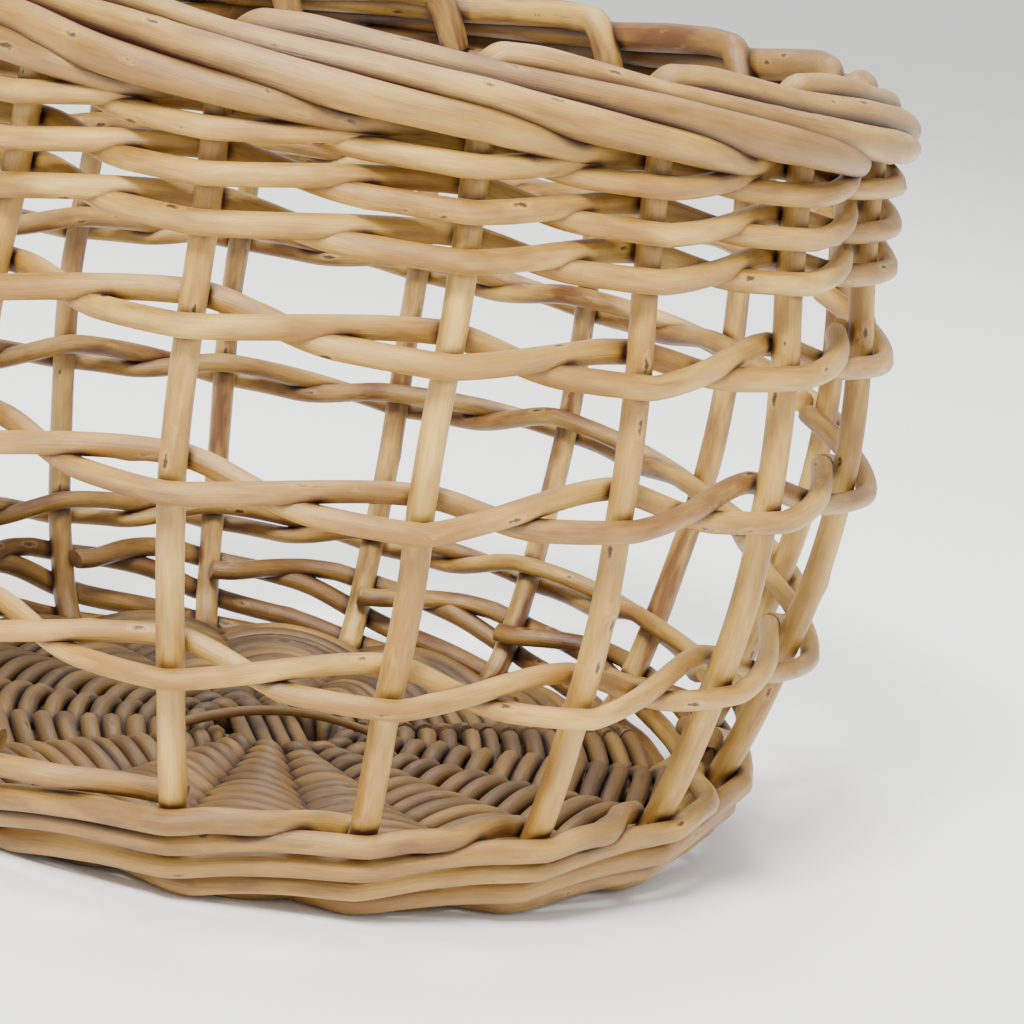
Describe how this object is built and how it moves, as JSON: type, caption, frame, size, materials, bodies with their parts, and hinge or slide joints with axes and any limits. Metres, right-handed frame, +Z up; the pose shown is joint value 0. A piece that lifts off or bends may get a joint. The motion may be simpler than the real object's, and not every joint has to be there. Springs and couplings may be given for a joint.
{
  "type": "woven fruit basket",
  "caption": "Round open willow basket with a woven base, open latticed side of upright stakes and paired weavers, a foot wale and a thick rolled border.",
  "frame": {"origin": "middle of the underside of the foot, on the surface the basket stands on", "axes": "+Z up along the basket's axis through the open mouth; +X passes through the first side stake"},
  "size_m": [0.269, 0.2691, 0.189],
  "materials": {
    "stake": "peeled pale willow rod, smooth with a soft sheen and small dark buds",
    "weaver": "peeled pale willow weaver, satin",
    "wale": "peeled willow, slightly browner, satin",
    "border": "thicker peeled willow rod, tan, satin",
    "base": "brownish willow, matt"
  },
  "bodies": {
    "root": {"base_stick_1": "base", "base_stick_2": "base", "base_stick_3": "base", "base_stick_4": "base", "base_stick_5": "base", "base_stick_6": "base", "base_stick_7": "base", "base_stick_8": "base", "base_weave_1": "base", "base_weave_2": "base", "base_weave_3": "base", "base_weave_4": "base", "stake_01": "stake", "stake_02": "stake", "stake_03": "stake", "stake_04": "stake", "stake_05": "stake", "stake_06": "stake", "stake_07": "stake", "stake_08": "stake", "stake_09": "stake", "stake_10": "stake", "stake_11": "stake", "stake_12": "stake", "stake_13": "stake", "stake_14": "stake", "stake_15": "stake", "stake_16": "stake", "wale_rod_1": "wale", "wale_rod_2": "wale", "wale_rod_3": "wale", "wale_rod_4": "wale", "pairing_1_a": "weaver", "pairing_1_b": "weaver", "pairing_2_a": "weaver", "pairing_2_b": "weaver", "pairing_3_a": "weaver", "pairing_3_b": "weaver", "pairing_4_a": "weaver", "pairing_4_b": "weaver", "pairing_5_a": "weaver", "pairing_5_b": "weaver", "pairing_6_a": "weaver", "pairing_6_b": "weaver", "border_rod_01": "border", "border_rod_02": "border", "border_rod_03": "border", "border_rod_04": "border", "border_rod_05": "border", "border_rod_06": "border", "border_rod_07": "border", "border_rod_08": "border", "border_rod_09": "border", "border_rod_10": "border", "border_rod_11": "border", "border_rod_12": "border", "border_rod_13": "border", "border_rod_14": "border", "border_rod_15": "border", "border_rod_16": "border"}
  },
  "joints": []
}
